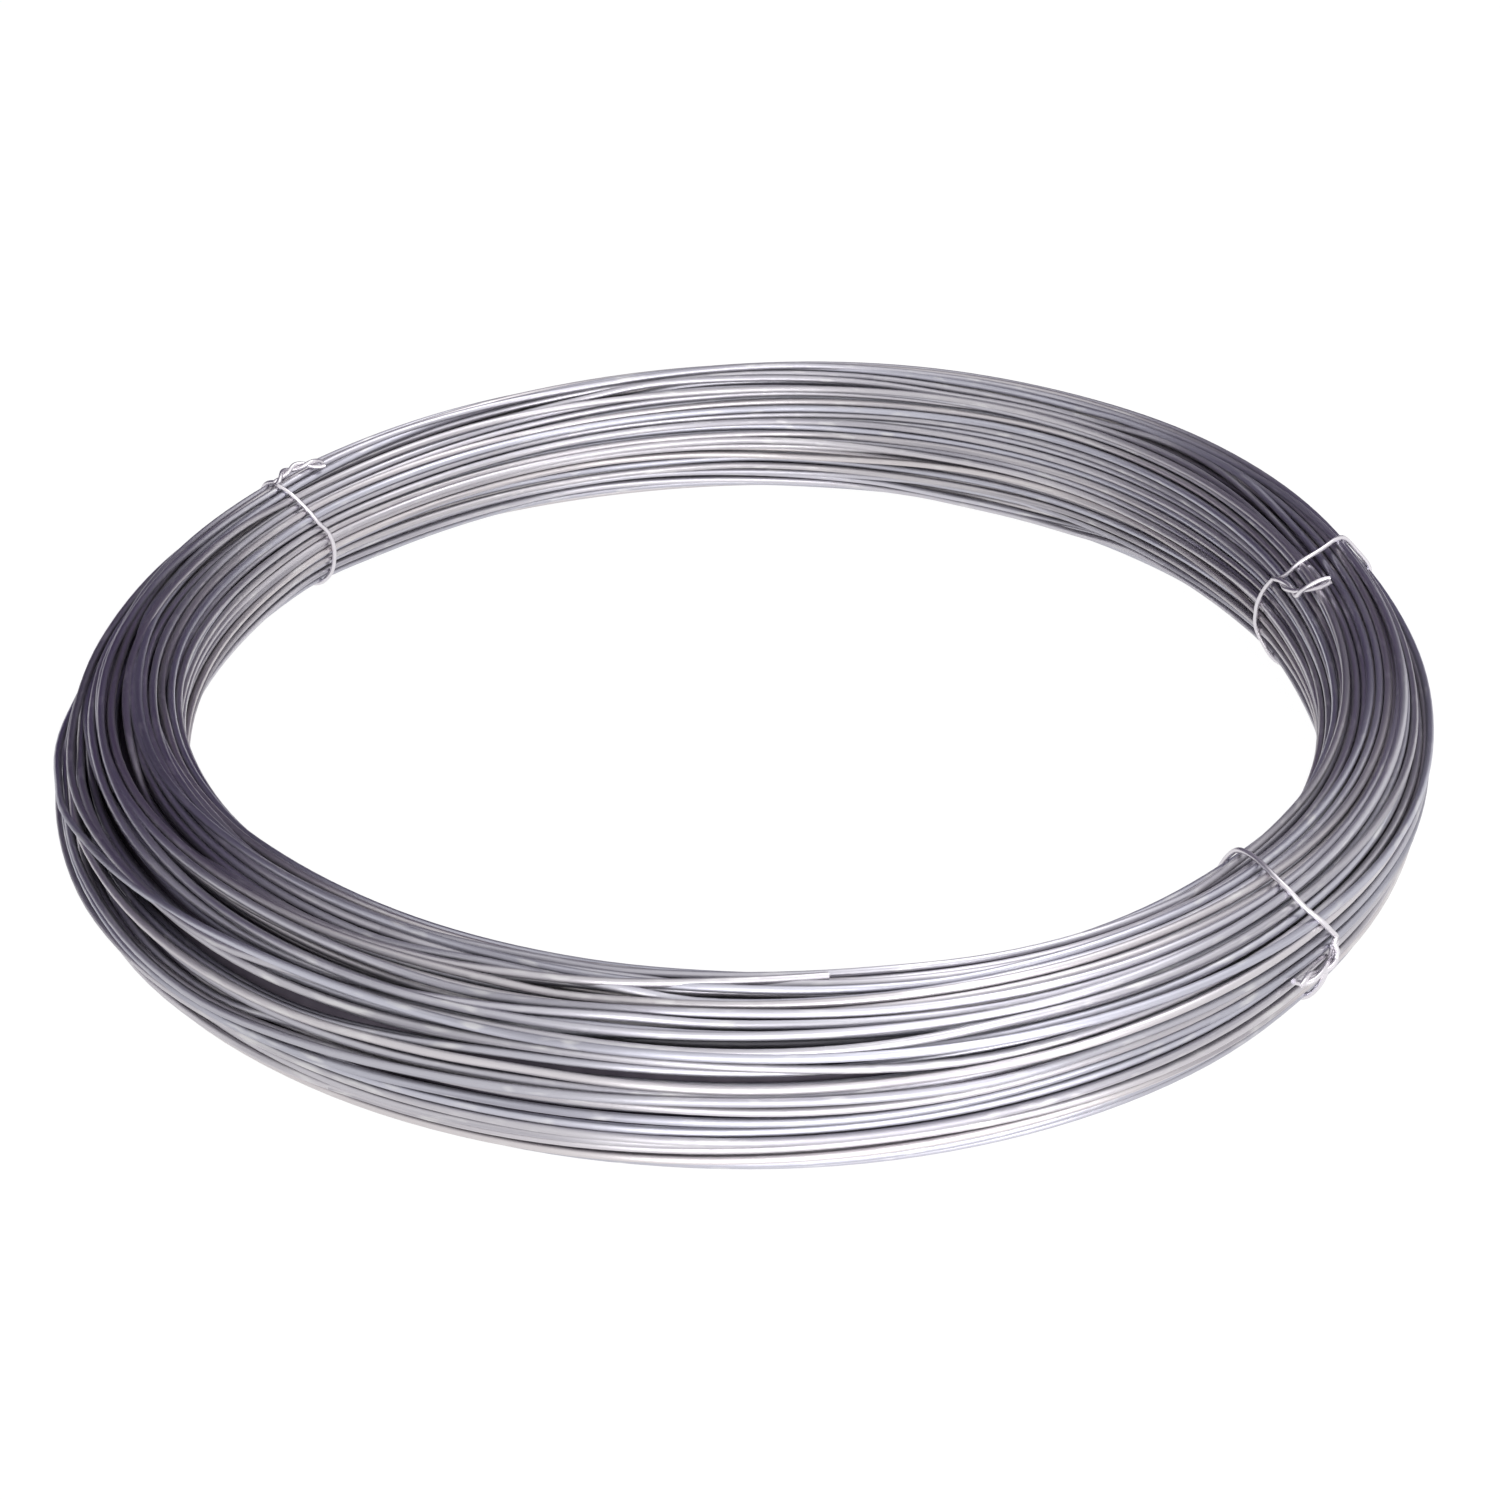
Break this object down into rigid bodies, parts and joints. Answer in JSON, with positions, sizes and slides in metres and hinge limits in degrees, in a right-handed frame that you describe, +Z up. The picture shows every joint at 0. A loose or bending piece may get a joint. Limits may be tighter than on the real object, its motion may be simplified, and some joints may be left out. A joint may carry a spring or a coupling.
{
  "type": "coil of galvanized wire",
  "caption": "Round coil of galvanized steel wire laid in loose turns, lying flat and held by twisted tie wires.",
  "frame": {"origin": "on the floor under the middle of the coil", "axes": "+Z up along the coil's axis; +Y away from the camera of the reference view"},
  "size_m": [0.556, 0.556, 0.065],
  "materials": {
    "galvanized_wire": "galvanized zinc, dull to bright, streaked along the wire",
    "tie_wire": "bright galvanized soft wire"
  },
  "bodies": {
    "root": {"wire_coil": "galvanized_wire", "tie_back_left": "tie_wire", "tie_back_right": "tie_wire", "tie_front_right": "tie_wire"}
  },
  "joints": []
}
